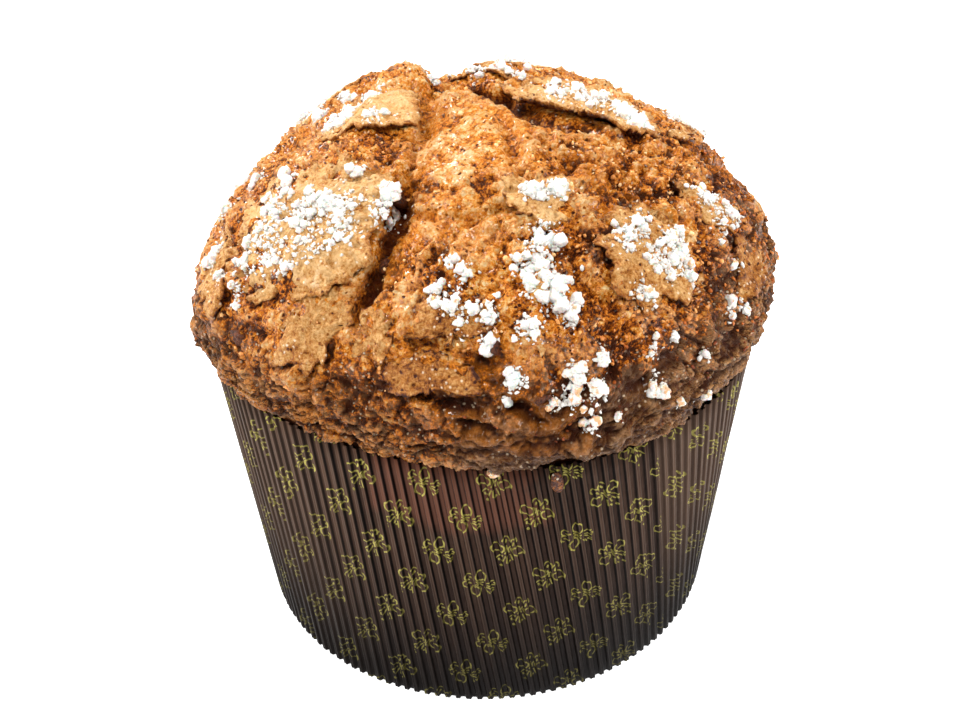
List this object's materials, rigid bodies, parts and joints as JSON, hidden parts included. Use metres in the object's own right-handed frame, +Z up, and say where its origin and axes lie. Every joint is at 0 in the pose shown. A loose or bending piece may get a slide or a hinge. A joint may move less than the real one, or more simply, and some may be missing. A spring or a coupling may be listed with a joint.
{
  "type": "panettone",
  "caption": "Tall domed sweet loaf in a fluted paper case, with a torn, glazed crown that rolls over the case's rim.",
  "frame": {"origin": "middle of the paper case's flat underside, on the surface that it stands on", "axes": "+Z up through the crown; -Y faces the viewer's front, where the crown shows the long tear; +X to the right"},
  "size_m": [0.1959, 0.2, 0.1867],
  "materials": {
    "crust": "satin",
    "case_paper": "matte"
  },
  "bodies": {
    "root": {"loaf": "crust", "paper_case": "case_paper"}
  },
  "joints": []
}
